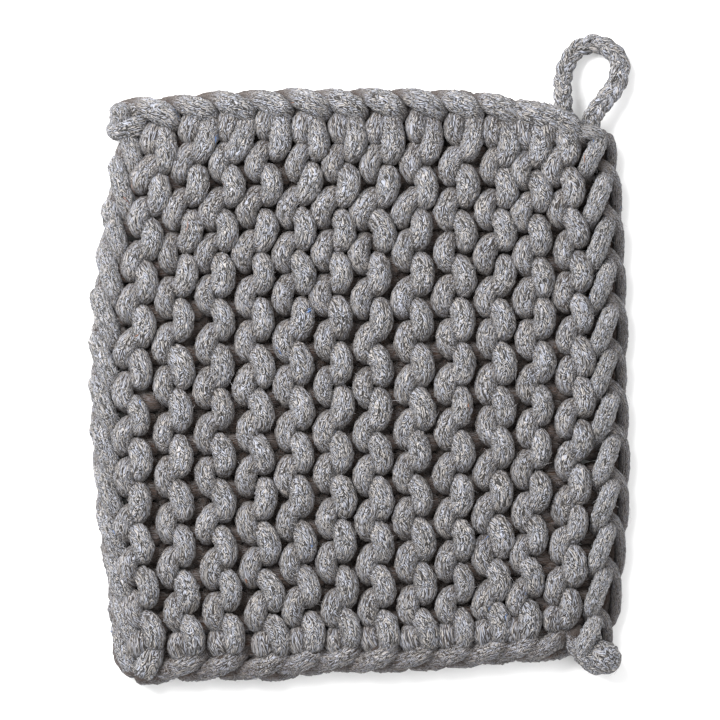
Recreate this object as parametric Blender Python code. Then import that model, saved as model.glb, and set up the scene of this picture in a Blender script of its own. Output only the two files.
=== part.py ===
"""A pot holder knitted in thick cotton cord, in garter stitch, with a hanging loop at one corner.

It lies flat with its front up. X runs across the ridges of the knitting, Y along them towards the
loop, and Z is up. The origin is on the surface that it lies on, under the middle of its box.

The pad is one closed solid. Its front has 12 ridges and its back 11 between them. Each ridge is
two lines of lumps, half a stitch apart: the loop heads on its right and the sinkers on its left.
The loop is a length of the same cord, seated in two sockets in the pad's edge.
"""

import math
from collections import namedtuple

import bmesh
import bpy
from mathutils import Vector

# Driving dimensions, in metres
FRONT_CREST = 0.0190  # height of the front's lumps, and so the pad's thickness
FRONT_MIDDLE = 0.0168  # along the middle of a front ridge
FRONT_PIT = 0.0126  # between two lumps of the same line
FRONT_GROOVE = 0.0110  # between two ridges
BACK_GROOVE = 0.0070
BACK_PIT = 0.0050
LUMP_ROUNDNESS = 0.6  # below 1, a lump stays high for longer on the way down to its pit
FLOOR = 0.0  # the back's lumps are pressed flat where the pad lies on them
RIM_TOP = 0.0112  # the rim's upper and lower line, all the way round
RIM_BOTTOM = 0.0064
EDGE_FRONT = 0.0152  # crest of the cord that runs along an edge, seen from the front
EDGE_BACK = 0.0028
EDGE_GROOVE_FRONT = 0.0132  # between that cord and the first stitches
EDGE_GROOVE_BACK = 0.0040
EDGE_SWELL = 0.0014  # how far an edge cord's lumps rise and fall
RIM_SCALLOP = 0.0007  # and how far they push the rim in and out
EDGE_CORD_IN = 0.0044  # from the upper or lower rim to the crest of its edge cord
# The cast-on cord and the groove beside it, as shares of the way from the rim to the first ridge
CAST_ON_CORD, CAST_ON_GROOVE = 0.26, 0.52
# The bind-off chain's groove, front legs and back legs, from the last ridge to the rim
BIND_OFF_GROOVE, BIND_OFF_FRONT_LEGS, BIND_OFF_BACK_LEGS = 0.37, 0.57, 0.82
# Where along a stitch the lumps of these side cords rise
EDGE_PHASE = {"cast-on": 0.25, "front legs": 0.0, "back legs": 0.5}
# The cord along the upper and lower edge rises over each ridge and dips into each groove
EDGE_ROW_SWELL = {"groove": -1.0, "sinkers": 0.0, "middle": 1.0, "heads": 0.4}
# A ridge winds from side to side, out at each head and back at each sinker
WINDING = {"groove": 0.0014, "sinkers": 0.0009, "middle": 0.0005, "heads": 0.0009}
HEADS = 12  # stitches along a ridge
PARTS = 4  # grid lines to a stitch
SEAT_GAP = 0.0003  # between the loop's cord and its sockets
LOOP_SIDES = 12
LOOP_STEPS = 3  # rings between two stops of its route
KNOT_SIDES, KNOT_RINGS = 12, 8

# The heathered grey of the cotton, which is a little lighter on the loop's smooth cord
PAD_GREY = (0.16, 0.16, 0.165)
LOOP_GREY = (0.17, 0.17, 0.175)
COTTON_ROUGHNESS = 0.95

# Heights at which the table gives a line's X
Y_TOP, Y_MID, Y_FOOT = 0.0835, -0.0123, -0.1057

# The lines of the cloth from left to right: the cast-on rim, the middles of the 12 front ridges
# and the bind-off rim. Each has its X at three heights, the Y of the rim above it, of its first
# and last stitch, and of the rim below it.
Line = namedtuple("Line", "x_top x_mid x_foot y_rim_top y_first y_last y_rim_foot")
LINES = (
    Line(-0.0938, -0.1044, -0.0946, 0.0984, 0.0800, -0.1030, -0.1191),
    Line(-0.0767, -0.0876, -0.0828, 0.0992, 0.0790, -0.1053, -0.1248),
    Line(-0.0625, -0.0719, -0.0671, 0.1002, 0.0831, -0.1063, -0.1237),
    Line(-0.0484, -0.0562, -0.0514, 0.1017, 0.0833, -0.1061, -0.1237),
    Line(-0.0338, -0.0407, -0.0352, 0.1021, 0.0839, -0.1059, -0.1234),
    Line(-0.0192, -0.0258, -0.0208, 0.1023, 0.0838, -0.1046, -0.1214),
    Line(-0.0050, -0.0104, -0.0070, 0.1024, 0.0832, -0.1043, -0.1203),
    Line(0.0096, 0.0047, 0.0072, 0.1028, 0.0826, -0.1045, -0.1205),
    Line(0.0245, 0.0205, 0.0223, 0.1028, 0.0829, -0.1036, -0.1202),
    Line(0.0396, 0.0364, 0.0367, 0.1026, 0.0824, -0.1032, -0.1189),
    Line(0.0541, 0.0519, 0.0501, 0.1011, 0.0817, -0.1013, -0.1173),
    Line(0.0660, 0.0671, 0.0623, 0.0982, 0.0804, -0.1004, -0.1162),
    Line(0.0762, 0.0824, 0.0752, 0.0954, 0.0816, -0.0962, -0.1157),
    Line(0.0944, 0.1032, 0.0960, 0.0864, 0.0760, -0.1020, -0.1153),
)

# The knots at two corners, where the cord was wrapped round the edge: middle and half sizes
Knot = namedtuple("Knot", "x y z half_x half_y half_z")
KNOTS = (
    Knot(-0.0922, 0.0950, 0.0102, 0.0050, 0.0047, 0.0056),
    Knot(-0.0900, 0.0884, 0.0104, 0.0074, 0.0048, 0.0062),
    Knot(0.0925, -0.1148, 0.0090, 0.0066, 0.0069, 0.0066),
)

# The loop's route, from its left seat round to its right one, with the cord's width on the way.
# It leaves the pad's edge at mid thickness and comes down until its far end lies on the surface.
Stop = namedtuple("Stop", "x y z width")
LOOP_ROUTE = (
    Stop(0.0783, 0.0893, 0.0092, 0.0062),
    Stop(0.0776, 0.0942, 0.0091, 0.0062),
    Stop(0.0776, 0.0996, 0.0083, 0.0062),
    Stop(0.0774, 0.1061, 0.0067, 0.0063),
    Stop(0.0787, 0.1122, 0.0048, 0.0066),
    Stop(0.0829, 0.1187, 0.0036, 0.0070),
    Stop(0.0900, 0.1210, 0.0034, 0.0072),
    Stop(0.0967, 0.1180, 0.0036, 0.0074),
    Stop(0.1000, 0.1126, 0.0043, 0.0076),
    Stop(0.0982, 0.1046, 0.0058, 0.0077),
    Stop(0.0933, 0.0984, 0.0074, 0.0076),
    Stop(0.0890, 0.0931, 0.0086, 0.0074),
    Stop(0.0878, 0.0872, 0.0092, 0.0072),
    Stop(0.0874, 0.0832, 0.0092, 0.0072),
)


def clear_scene():
    for old in list(bpy.data.objects):
        bpy.data.objects.remove(old, do_unlink=True)


def material(name, color, roughness):
    made = bpy.data.materials.new(name)
    made.use_nodes = True
    shader = made.node_tree.nodes["Principled BSDF"]
    shader.inputs["Base Color"].default_value = (*color, 1.0)
    shader.inputs["Roughness"].default_value = roughness
    shader.inputs["Metallic"].default_value = 0.0
    return made


def mix(one, other, share):
    """The line that lies this share of the way from one line of the cloth to another."""
    return Line(*(a + (b - a) * share for a, b in zip(one, other)))


def line_x(line, y):
    """X of a line at height y, on the parabola through its three stated places."""
    top = (y - Y_MID) * (y - Y_FOOT) / ((Y_TOP - Y_MID) * (Y_TOP - Y_FOOT))
    mid = (y - Y_TOP) * (y - Y_FOOT) / ((Y_MID - Y_TOP) * (Y_MID - Y_FOOT))
    foot = (y - Y_TOP) * (y - Y_MID) / ((Y_FOOT - Y_TOP) * (Y_FOOT - Y_MID))
    return line.x_top * top + line.x_mid * mid + line.x_foot * foot


def grid_lines():
    """The grid's lines from left to right, each with the part of the cloth that it runs along."""
    cast_on, *ridges, bind_off = LINES
    grooves = [mix(cast_on, ridges[0], CAST_ON_GROOVE)]
    grooves += [mix(left, right, 0.5) for left, right in zip(ridges, ridges[1:])]
    grooves += [mix(ridges[-1], bind_off, BIND_OFF_GROOVE)]
    lines = [("rim", cast_on), ("cast-on", mix(cast_on, ridges[0], CAST_ON_CORD))]
    for ridge, left, right in zip(ridges, grooves, grooves[1:]):
        lines += [
            ("groove", left),
            ("sinkers", mix(left, ridge, 0.5)),
            ("middle", ridge),
            ("heads", mix(ridge, right, 0.5)),
        ]
    lines += [
        ("groove", grooves[-1]),
        ("front legs", mix(ridges[-1], bind_off, BIND_OFF_FRONT_LEGS)),
        ("back legs", mix(ridges[-1], bind_off, BIND_OFF_BACK_LEGS)),
        ("rim", bind_off),
    ]
    return lines


def grid_rows():
    """The grid's rows from top to foot, each with its place along a ridge in stitches."""
    stitches = [("stitches", part / PARTS) for part in range((HEADS - 1) * PARTS + 1)]
    top = [("rim", "top"), ("edge cord", "top"), ("groove", "top")]
    foot = [("groove", "foot"), ("edge cord", "foot"), ("rim", "foot")]
    return top + stitches + foot


def row_y(line, row, place):
    """Y at which a row of the grid crosses a line."""
    if row == "stitches":
        return line.y_first + (line.y_last - line.y_first) * place / (HEADS - 1)
    rim, stitch = line.y_rim_top, line.y_first
    if place == "foot":
        rim, stitch = line.y_rim_foot, line.y_last
    inward = math.copysign(1.0, stitch - rim)
    cord = rim + inward * EDGE_CORD_IN
    return {"rim": rim, "edge cord": cord, "groove": (cord + stitch) / 2}[row]


def wave(place):
    """1 on a whole stitch and 0 half a stitch away."""
    return 0.5 + 0.5 * math.cos(2 * math.pi * place)


def heights(along, row, place):
    """Heights of the front and the back where a line of the cloth meets a row."""
    if "rim" in (along, row):
        return RIM_TOP, RIM_BOTTOM
    if along in EDGE_PHASE:
        swell = EDGE_SWELL * (2 * wave(place + EDGE_PHASE[along]) - 1) if row == "stitches" else 0.0
        return EDGE_FRONT + swell, EDGE_BACK - swell
    if row == "edge cord":
        swell = EDGE_SWELL * EDGE_ROW_SWELL[along]
        return EDGE_FRONT + swell, EDGE_BACK + swell
    if row == "groove":
        return EDGE_GROOVE_FRONT, EDGE_GROOVE_BACK
    if along == "groove":
        return FRONT_GROOVE, FLOOR
    if along == "middle":
        return FRONT_MIDDLE, BACK_GROOVE
    lump = wave(place) if along == "heads" else wave(place + 0.5)
    front = FRONT_PIT + (FRONT_CREST - FRONT_PIT) * lump**LUMP_ROUNDNESS
    # The back's lumps lie under the front's pits, and are flat from a quarter stitch either side
    back = BACK_PIT * max(0.0, 2 * lump - 1)
    return front, FLOOR + back


def scallop(number, count):
    """How far the rim stands out at one of its grid lines."""
    return RIM_SCALLOP * math.sin(math.pi * number / 2) if 1 < number < count - 2 else 0.0


def grid_points(lines, rows, back):
    """The grid's points, row by row, on the front or on the back."""
    points = []
    for r, (row, place) in enumerate(rows):
        for c, (along, line) in enumerate(lines):
            y = row_y(line, row, place)
            x = line_x(line, y)
            if along == "rim":
                x += math.copysign(scallop(r, len(rows)), x)
            elif row == "stitches":
                x += WINDING.get(along, 0.0) * (2 * wave(place) - 1)
            if row == "rim":
                y += math.copysign(scallop(c, len(lines)), y)
            points.append(Vector((x, y, heights(along, row, place)[back])))
    return points


def sheet(work, points, width, rows):
    """Adds the front or the back as a grid and sets its points in their places.

    Each quad is cut along the way its cord runs: from a head down to the sinker on its left, and
    from there down to the next head on its right.
    """
    made = bmesh.ops.create_grid(work, x_segments=width - 1, y_segments=len(rows) - 1, size=1.0)
    verts = sorted(made["verts"], key=lambda v: (-round(v.co.y, 4), round(v.co.x, 4)))
    for vert, point in zip(verts, points):
        vert.co = point
    for r, (row, place) in enumerate(rows[:-1]):
        to_the_left = row == "stitches" and place % 1 < 0.5
        for c in range(width - 1):
            upper, lower = r * width + c, (r + 1) * width + c
            one, other = (upper + 1, lower) if to_the_left else (upper, lower + 1)
            shared = set(verts[one].link_faces) & set(verts[other].link_faces)
            bmesh.utils.face_split(shared.pop(), verts[one], verts[other])


def finish(work, name, surface):
    """Turns a bmesh into a smooth-shaded object in the scene."""
    bmesh.ops.recalc_face_normals(work, faces=work.faces)
    mesh = bpy.data.meshes.new(name)
    work.to_mesh(mesh)
    work.free()
    mesh.materials.append(surface)
    mesh.shade_smooth()
    mesh.set_sharp_from_angle(angle=math.radians(60))
    made = bpy.data.objects.new(name, mesh)
    bpy.context.scene.collection.objects.link(made)
    return made


def combine(target, tool, operation):
    """Joins a tool to the target, or cuts it away. The tool itself isn't a piece."""
    step = target.modifiers.new(f"{operation.title()} {tool.name}", "BOOLEAN")
    step.operation = operation
    step.object = tool
    step.solver = "EXACT"
    tool.hide_render = True
    tool.display_type = "WIRE"


def smooth_route():
    """Points on a smooth curve through the loop's stops, each as (x, y, z, width)."""
    stops = [Vector(stop) for stop in LOOP_ROUTE]
    ends = [stops[0] * 2 - stops[1], *stops, stops[-1] * 2 - stops[-2]]
    route = []
    for a, b, c, d in zip(ends, ends[1:], ends[2:], ends[3:]):
        for step in range(LOOP_STEPS):
            t = step / LOOP_STEPS
            bend = (a * 2 - b * 5 + c * 4 - d) * t**2 + (b * 3 - a - c * 3 + d) * t**3
            route.append(b + ((c - a) * t + bend) / 2)
    return route + [stops[-1]]


def loop_cord(name, extra, surface):
    """The loop as a round cord with closed ends. Extra widens it and lengthens its ends."""
    route = smooth_route()
    last = len(route) - 1
    work = bmesh.new()
    rings = []
    for number, stop in enumerate(route):
        along = (route[min(number + 1, last)] - route[max(number - 1, 0)]).xyz.normalized()
        side = along.cross(Vector((0, 0, 1))).normalized()
        over = side.cross(along)
        middle = stop.xyz + along * {0: -extra, last: extra}.get(number, 0.0)
        ring = []
        for k in range(LOOP_SIDES):
            angle = 2 * math.pi * (k + 0.5) / LOOP_SIDES
            out = side * math.cos(angle) + over * math.sin(angle)
            point = middle + out * (stop.w / 2 + extra)
            point.z = max(point.z, FLOOR)
            ring.append(work.verts.new(point))
        rings.append(ring)
    for one, other in zip(rings, rings[1:]):
        for k in range(LOOP_SIDES):
            following = (k + 1) % LOOP_SIDES
            work.faces.new((one[k], one[following], other[following], other[k]))
    work.faces.new(rings[0])
    work.faces.new(rings[-1])
    return finish(work, name, surface)


def knot(number, place, surface):
    """One of the rounded lumps at the corners."""
    work = bmesh.new()
    bmesh.ops.create_uvsphere(work, u_segments=KNOT_SIDES, v_segments=KNOT_RINGS, radius=1.0)
    bmesh.ops.scale(work, vec=(place.half_x, place.half_y, place.half_z), verts=work.verts)
    bmesh.ops.translate(work, vec=(place.x, place.y, place.z), verts=work.verts)
    return finish(work, f"knot_{number}", surface)


def knit_pad(surface):
    """The knitted square: a front and a back grid, joined round the rim."""
    lines, rows = grid_lines(), grid_rows()
    work = bmesh.new()
    for back in (False, True):
        sheet(work, grid_points(lines, rows, back), len(lines), rows)
    rims = [edge for edge in work.edges if edge.is_boundary]
    bmesh.ops.bridge_loops(work, edges=rims)
    pad = finish(work, "knit_pad", surface)
    for number, place in enumerate(KNOTS):
        combine(pad, knot(number, place, surface), "UNION")
    combine(pad, loop_cord("loop_sockets", SEAT_GAP, surface), "DIFFERENCE")


def main():
    clear_scene()
    knit_pad(material("knitted_cotton_cord", PAD_GREY, COTTON_ROUGHNESS))
    loop_cord("hanging_loop", 0.0, material("loop_cotton_cord", LOOP_GREY, COTTON_ROUGHNESS))


main()
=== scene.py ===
"""A thick pot holder knitted in garter stitch from round grey cotton cord, lying flat with its hanging loop.

It is laid out as a Blender add-on: the panel in the sidebar holds the sizes and colours, and one operator
makes each group of like pieces. Run as a script, it makes them all in order.
"""

import math
from collections import namedtuple

import bpy
import numpy as np
from bpy.props import FloatProperty, FloatVectorProperty, IntProperty, PointerProperty
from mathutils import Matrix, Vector


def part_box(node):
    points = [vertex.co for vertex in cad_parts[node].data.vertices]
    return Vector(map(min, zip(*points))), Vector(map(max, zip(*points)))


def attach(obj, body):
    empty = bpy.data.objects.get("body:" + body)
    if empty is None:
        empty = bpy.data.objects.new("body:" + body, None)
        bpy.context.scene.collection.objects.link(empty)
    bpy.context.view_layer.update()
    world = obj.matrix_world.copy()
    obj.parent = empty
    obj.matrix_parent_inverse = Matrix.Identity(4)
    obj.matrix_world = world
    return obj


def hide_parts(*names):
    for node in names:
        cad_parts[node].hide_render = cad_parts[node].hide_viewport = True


bl_info = {
    "name": "Knitted Pot Holder",
    "version": (1, 0, 0),
    "blender": (4, 5, 0),
    "location": "3D View > Sidebar > Pot Holder",
    "description": "Knits a garter stitch pot holder from grey cotton cord",
    "category": "Add Mesh",
}

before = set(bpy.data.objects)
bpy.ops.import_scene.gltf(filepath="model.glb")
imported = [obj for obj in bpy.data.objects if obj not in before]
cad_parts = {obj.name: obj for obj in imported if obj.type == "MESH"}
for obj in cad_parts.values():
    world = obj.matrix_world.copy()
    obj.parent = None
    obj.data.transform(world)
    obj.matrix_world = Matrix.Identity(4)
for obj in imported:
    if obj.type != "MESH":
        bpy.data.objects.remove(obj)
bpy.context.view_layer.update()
PAD_LOW, PAD_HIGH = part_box("knit_pad")

MM = 0.001
BODY = "root"
UV_NAME = "cord"
# The name of the point attribute that holds each cord's painted shade, from 0 (none) to 1 (full).
PAINTED_SHADE_NAME = "tuck"

# The lines that run down the pad: the cast-on rim at its left, and its ridges from there to the right.
# x_top, x_mid and x_foot are where a parabola through the line lies at the three heights below; y_rim_top
# and y_rim_foot are the pad's ends on it, and y_first and y_last the middles of its end stitches. Metres.
Y_TOP, Y_MID, Y_FOOT = 0.0835, -0.0123, -0.1057
Line = namedtuple("Line", "x_top x_mid x_foot y_rim_top y_first y_last y_rim_foot")
CAST_ON_RIM = Line(-0.0938, -0.1044, -0.0946, 0.0984, 0.0800, -0.1030, -0.1191)
RIDGES = (
    Line(-0.0767, -0.0876, -0.0828, 0.0992, 0.0790, -0.1053, -0.1248),
    Line(-0.0625, -0.0719, -0.0671, 0.1002, 0.0831, -0.1063, -0.1237),
    Line(-0.0484, -0.0562, -0.0514, 0.1017, 0.0833, -0.1061, -0.1237),
    Line(-0.0338, -0.0407, -0.0352, 0.1021, 0.0839, -0.1059, -0.1234),
    Line(-0.0192, -0.0258, -0.0208, 0.1023, 0.0838, -0.1046, -0.1214),
    Line(-0.0050, -0.0104, -0.0070, 0.1024, 0.0832, -0.1043, -0.1203),
    Line(0.0096, 0.0047, 0.0072, 0.1028, 0.0826, -0.1045, -0.1205),
    Line(0.0245, 0.0205, 0.0223, 0.1028, 0.0829, -0.1036, -0.1202),
    Line(0.0396, 0.0364, 0.0367, 0.1026, 0.0824, -0.1032, -0.1189),
    Line(0.0541, 0.0519, 0.0501, 0.1011, 0.0817, -0.1013, -0.1173),
    Line(0.0660, 0.0671, 0.0623, 0.0982, 0.0804, -0.1004, -0.1162),
    Line(0.0762, 0.0824, 0.0764, 0.0954, 0.0816, -0.0962, -0.1157),
)
STITCHES = 12

# Half of a stitch's rounded lump, from its middle to where the cord turns under: how far along the row in
# stitches, how far in towards the row's own line, how far below the crest, and the cord's radius, in mm.
Turn = namedtuple("Turn", "along inward drop radius")
HEAD_TURNS = (
    Turn(0.00, 0.0, 0.0, 4.40),
    Turn(0.14, 0.2, 0.2, 4.40),
    Turn(0.24, 1.0, 1.2, 4.25),
    Turn(0.31, 2.0, 4.1, 3.95),
)
SINKER_TURNS = (
    Turn(0.00, 0.0, 0.9, 4.25),
    Turn(0.14, 0.3, 1.3, 4.20),
    Turn(0.24, 1.3, 2.6, 4.05),
    Turn(0.31, 2.7, 5.3, 3.75),
)
# Where the cord passes through the pad: the share of the way across to the front lump, and its height.
LEG = ((0.66, 8.8 * MM), (0.36, 6.2 * MM))
LEG_PLACE = 0.25    # how far past a lump's middle it does so, in stitches
LEG_RADIUS = 2.6    # in mm
HEAD_LEAN = 0.45    # how far the lower end of a head on the front leans to the right, in mm
SINKER_LEAN = 0.55    # and that of a sinker to the left
SINKER_SPREAD = 0.4    # how much further out sinkers lie where the pad is pulled sideways, as a share
FULL_SHADE_DROP = 4.4    # how far below the crest a lump's ends are wholly tucked away and take full painted shade, in mm
PIT_SHADE_REACH = 8.6 * MM    # how far painted shade in the pits reaches from the middle of the pad's thickness
SIDE_GAP = 10.0 * MM    # how far past the first and the last ridge another one would lie
# How much the lumps differ, as standard deviations: their shift sideways and down in mm, their slide along
# the row in stitches, their lean in mm, and the share by which their cord is thicker.
LUMP_SHIFT, LUMP_SLIDE, LUMP_LEAN, LUMP_GROWTH = 0.35, 0.024, 0.55, 0.04
# How the lumps at the ends of a row differ: they are moved along it, in stitches, their halves are longer or
# shorter, as a share, and their upper or lower end lies deeper, in mm.
End = namedtuple("End", "shift above below sink_above sink_below")
MIDDLE_LUMP = End(0.0, 1.0, 1.0, 0.0, 0.0)
FIRST_HEAD = End(0.0, 1.9, 1.0, 1.2, 0.0)
FIRST_SINKER = End(0.13, 0.75, 1.0, 2.4, 0.0)
LAST_SINKER = End(-0.25, 0.75, 0.5, 2.0, 3.2)

# The cords at the edges go through stops: how far each lies to the right of a middle and above it, its height
# over the table and the cord's radius there, all in mm, and how much painted shade it takes, from 0 to 1, as
# it is tucked away.

# The cord that turns over the top end of a ridge, from behind on the left to under the ridge's first head,
# and the one round its foot, from behind on the left up to the last head. The middle is that head's.
TOP_TURN = (
    (-18.0, 16.2, 6.4, 2.6, 1.0),
    (-15.0, 17.2, 7.4, 2.8, 1.0),
    (-12.2, 17.6, 9.2, 3.0, 1.0),
    (-9.8, 17.4, 11.6, 3.4, 0.7),
    (-7.4, 16.6, 13.8, 4.1, 0.1),
    (-4.0, 15.2, 14.7, 4.6, 0.0),
    (-0.6, 13.6, 14.4, 4.5, 0.0),
    (1.5, 11.6, 12.6, 4.1, 0.1),
    (2.4, 9.2, 7.6, 3.3, 1.0),
)
FOOT_TURN = (
    (-18.0, -10.4, 6.4, 3.2, 1.0),
    (-14.8, -12.8, 7.6, 3.6, 0.7),
    (-11.0, -13.6, 9.6, 3.8, 0.2),
    (-6.0, -12.2, 11.7, 4.0, 0.0),
    (-1.6, -10.2, 12.1, 4.0, 0.0),
    (2.2, -8.2, 9.6, 3.5, 0.4),
    (3.6, -4.6, 7.6, 3.2, 1.0),
)
# How far they reach past that head, before they are stretched to lie EDGE_MARGIN inside the rim, in mm.
TOP_TURN_RISE, FOOT_TURN_DROP = 16.2, 13.6
EDGE_MARGIN = 3.8
# How far painted shade in the pits at the ridges' ends reaches from the middle of the pad's thickness.
EDGE_PIT_SHADE_REACH = 7.6 * MM
# How much the cords at the edges differ: their shift in mm, and the share by which they are thicker.
CORD_SHIFT, CORD_GROWTH = 0.28, 0.02

# The cast-on edge is one cord wound like a rope, one turn to a stitch. In mm: how far its axis lies inside
# the rim, how far the cord swings sideways and slides along the axis, the axis's height, how far the cord
# rises and falls about it, and the cord's radius.
ROPE_INSIDE, ROPE_SWING, ROPE_SLIDE = 6.5, 2.7, 5.4
ROPE_MIDDLE, ROPE_RISE, ROPE_RADIUS = 7.9, 4.0, 3.8
ROPE_SWING_SPREAD, ROPE_RADIUS_SPREAD = 0.1, 0.03    # how much its turns differ, as shares
# How much painted shade it takes where it runs lower than a share of its rise, and where it swings inwards.
ROPE_LOW_FROM, ROPE_LOW_SHADE, ROPE_IN_SHADE = 0.2, 0.7, 0.45
ROPE_PITCH, ROPE_STEPS = 16.75 * MM, 12    # the length of a turn and the stops in it
ROPE_TOP, ROPE_FOOT = 0.0850, -0.1110
# The cord under it comes out sideways where the other one swings in. It lies in painted shade.
UNDER_INSIDE, UNDER_SWING, UNDER_HEIGHT, UNDER_RADIUS, UNDER_SHADE = 5.3, 0.8, 5.2, 3.9, 0.6

# One link of the chain along the bind-off edge, from the top of its front leg down, under the next link and
# back up its rear leg. The middle is the front leg's.
LINK = (
    (3.2, 8.4, 9.0, 3.0, 0.6),
    (2.1, 4.4, 13.2, 3.5, 0.0),
    (0.0, -0.8, 14.6, 3.6, 0.0),
    (-2.0, -6.0, 13.4, 3.5, 0.0),
    (-3.2, -9.6, 9.8, 3.1, 0.6),
    (-0.8, -12.8, 5.6, 2.8, 1.0),
    (4.4, -13.0, 3.8, 2.4, 1.0),
    (6.7, -8.5, 4.6, 2.3, 0.6),
    (7.3, -3.0, 5.8, 2.2, 0.45),
    (7.2, 2.6, 7.2, 2.2, 0.45),
    (6.1, 7.2, 9.0, 2.3, 0.4),
    (4.0, 10.4, 10.6, 2.4, 0.35),
    (1.4, 12.4, 10.8, 2.3, 0.8),
)
# The cord under the chain. In mm: how far it lies to the right of the front legs, its height and its radius,
# and how much these two change within a link. Then its painted shade and its stops to a link.
CHAIN_UNDER, CHAIN_UNDER_HEIGHT, CHAIN_UNDER_RADIUS = 4.2, 3.1, 2.8
CHAIN_UNDER_RISE, CHAIN_UNDER_SWELL = 0.3, 0.4
CHAIN_UNDER_SHADE, CHAIN_UNDER_STEPS = 1.0, 8
LINKS = 12
FIRST_LINK, LAST_LINK = 0.78, 0.80    # how long they are beside the others
LINK_TOP, LINK_PITCH = 0.0785, 16.75 * MM
# Where the front legs lie, from the top of the edge to its foot, in metres.
LINK_Y = (0.0785, 0.0624, 0.0456, 0.0287, -0.0372, -0.0540, -0.0739, -0.0915, -0.1057)
LINK_X = (0.0889, 0.0906, 0.0923, 0.0926, 0.0940, 0.0940, 0.0925, 0.0902, 0.0875)

# The cords' ends and knots at the corners. Their places are from the middle of the part, in mm.
FIRST_END = (
    (-91.0, 88.5, 9.0, 3.6, 0.6),
    (-92.0, 91.4, 12.4, 4.3, 0.0),
    (-92.1, 93.8, 12.8, 4.3, 0.0),
)
FIRST_WRAP = (
    (-94.0, 87.4, 5.0, 3.7, 0.6),
    (-93.0, 87.9, 10.4, 4.2, 0.0),
    (-89.8, 88.0, 13.2, 4.5, 0.0),
    (-86.0, 88.6, 12.6, 4.3, 0.0),
    (-83.4, 89.4, 8.0, 3.7, 0.6),
)
FIRST_STRAND = (
    (-90.4, 92.4, 7.6, 3.6, 0.8),
    (-87.2, 94.0, 9.6, 4.1, 0.3),
    (-83.4, 95.2, 11.4, 4.3, 0.0),
    (-79.8, 94.6, 11.6, 4.2, 0.1),
    (-76.8, 92.6, 9.4, 3.8, 0.6),
)
CORNER_TURN = (
    (-92.0, -104.0, 7.5, 3.8, 0.3),
    (-90.6, -110.5, 9.0, 3.8, 0.0),
    (-89.6, -115.5, 8.8, 3.8, 0.0),
    (-87.8, -118.4, 8.2, 3.8, 0.0),
    (-83.6, -118.8, 7.2, 3.6, 0.3),
    (-79.5, -117.8, 6.2, 3.4, 0.8),
)
CORNER_LUMP = (
    (-78.4, -107.6, 7.8, 3.8, 1.0),
    (-79.2, -111.4, 10.6, 4.4, 0.5),
    (-80.6, -115.6, 12.6, 4.9, 0.0),
    (-82.4, -119.0, 11.0, 4.8, 0.0),
    (-83.2, -120.2, 7.0, 4.4, 0.2),
)
CORNER_STRAND = (
    (61.5, 94.4, 8.6, 3.6, 0.9),
    (66.0, 94.2, 11.6, 4.0, 0.3),
    (72.6, 92.4, 14.4, 4.3, 0.0),
    (79.0, 89.8, 14.8, 4.4, 0.0),
    (83.4, 85.6, 12.6, 4.0, 0.1),
    (84.2, 81.2, 7.8, 3.4, 1.0),
)
LAST_FOOT = (
    (58.5, -110.6, 6.4, 3.1, 1.0),
    (61.5, -112.6, 7.8, 3.4, 0.7),
    (65.0, -113.2, 9.8, 3.6, 0.2),
    (68.4, -112.2, 11.6, 3.8, 0.0),
    (71.6, -110.6, 12.4, 3.8, 0.0),
    (74.6, -108.4, 12.0, 3.7, 0.0),
    (76.6, -105.4, 9.6, 3.4, 0.4),
    (77.0, -102.4, 7.0, 3.0, 1.0),
)
# A cord in deep painted shade beside the last foot, under the knob.
LAST_SHADE = (
    (79.6, -98.0, 7.4, 3.2, 1.0),
    (80.4, -104.0, 8.8, 3.5, 0.75),
    (80.8, -108.0, 9.2, 3.5, 0.65),
    (82.4, -111.2, 8.0, 3.3, 0.8),
)
LAST_KNOB = (
    (84.5, -108.5, 8.0, 3.9, 0.6),
    (88.6, -111.4, 9.0, 4.9, 0.1),
    (92.0, -113.6, 9.6, 5.9, 0.0),
    (94.0, -115.4, 9.2, 6.1, 0.0),
)
KNOB_BACK = (
    (79.6, -104.8, 8.6, 3.8, 0.7),
    (82.6, -109.4, 9.4, 4.3, 0.2),
    (86.4, -113.2, 9.4, 5.0, 0.0),
    (90.6, -116.4, 9.0, 5.3, 0.0),
)
LOOP_COLLAR = (
    (84.0, 85.6, 6.0, 2.4, 0.8),
    (85.2, 86.9, 13.0, 2.7, 0.4),
    (88.2, 86.6, 15.6, 2.9, 0.0),
    (90.8, 85.4, 13.0, 2.9, 0.0),
    (91.2, 84.2, 6.0, 2.6, 0.5),
)

# The route of the hanging loop, up its left leg and down its right one: x, y, height and width in metres.
LOOP_ROUTE = (
    (0.0783, 0.0893, 0.0092, 0.0076),
    (0.0776, 0.0942, 0.0091, 0.0076),
    (0.0776, 0.0996, 0.0083, 0.0073),
    (0.0774, 0.1061, 0.0067, 0.0070),
    (0.0787, 0.1122, 0.0048, 0.0069),
    (0.0829, 0.1187, 0.0036, 0.0070),
    (0.0900, 0.1210, 0.0034, 0.0072),
    (0.0967, 0.1180, 0.0036, 0.0074),
    (0.1000, 0.1126, 0.0043, 0.0076),
    (0.0982, 0.1046, 0.0058, 0.0077),
    (0.0933, 0.0984, 0.0074, 0.0076),
    (0.0890, 0.0931, 0.0086, 0.0074),
    (0.0878, 0.0872, 0.0092, 0.0072),
    (0.0874, 0.0832, 0.0092, 0.0072),
)
LOOP_NAME, LOOP_WIDTH = "plaited_loop", 0.0072
PLAIT_PERIOD = 15.6 * MM
PLAIT_RADIUS = 0.30    # the radius of its cords, as a share of its width
PLAIT_SPREAD = 1.1    # it is a little wider than its route between the crossings
PLAIT_DEPTH = 0.9 * MM    # how far its cords rise and sink to cross
# Its route is read in steps, its corners are eased, and its rings lie closer than a thicker cord's.
PLAIT_STEP, PLAIT_EASE, PLAIT_RING_GAP = 0.5 * MM, 2.2 * MM, 0.7
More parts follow.
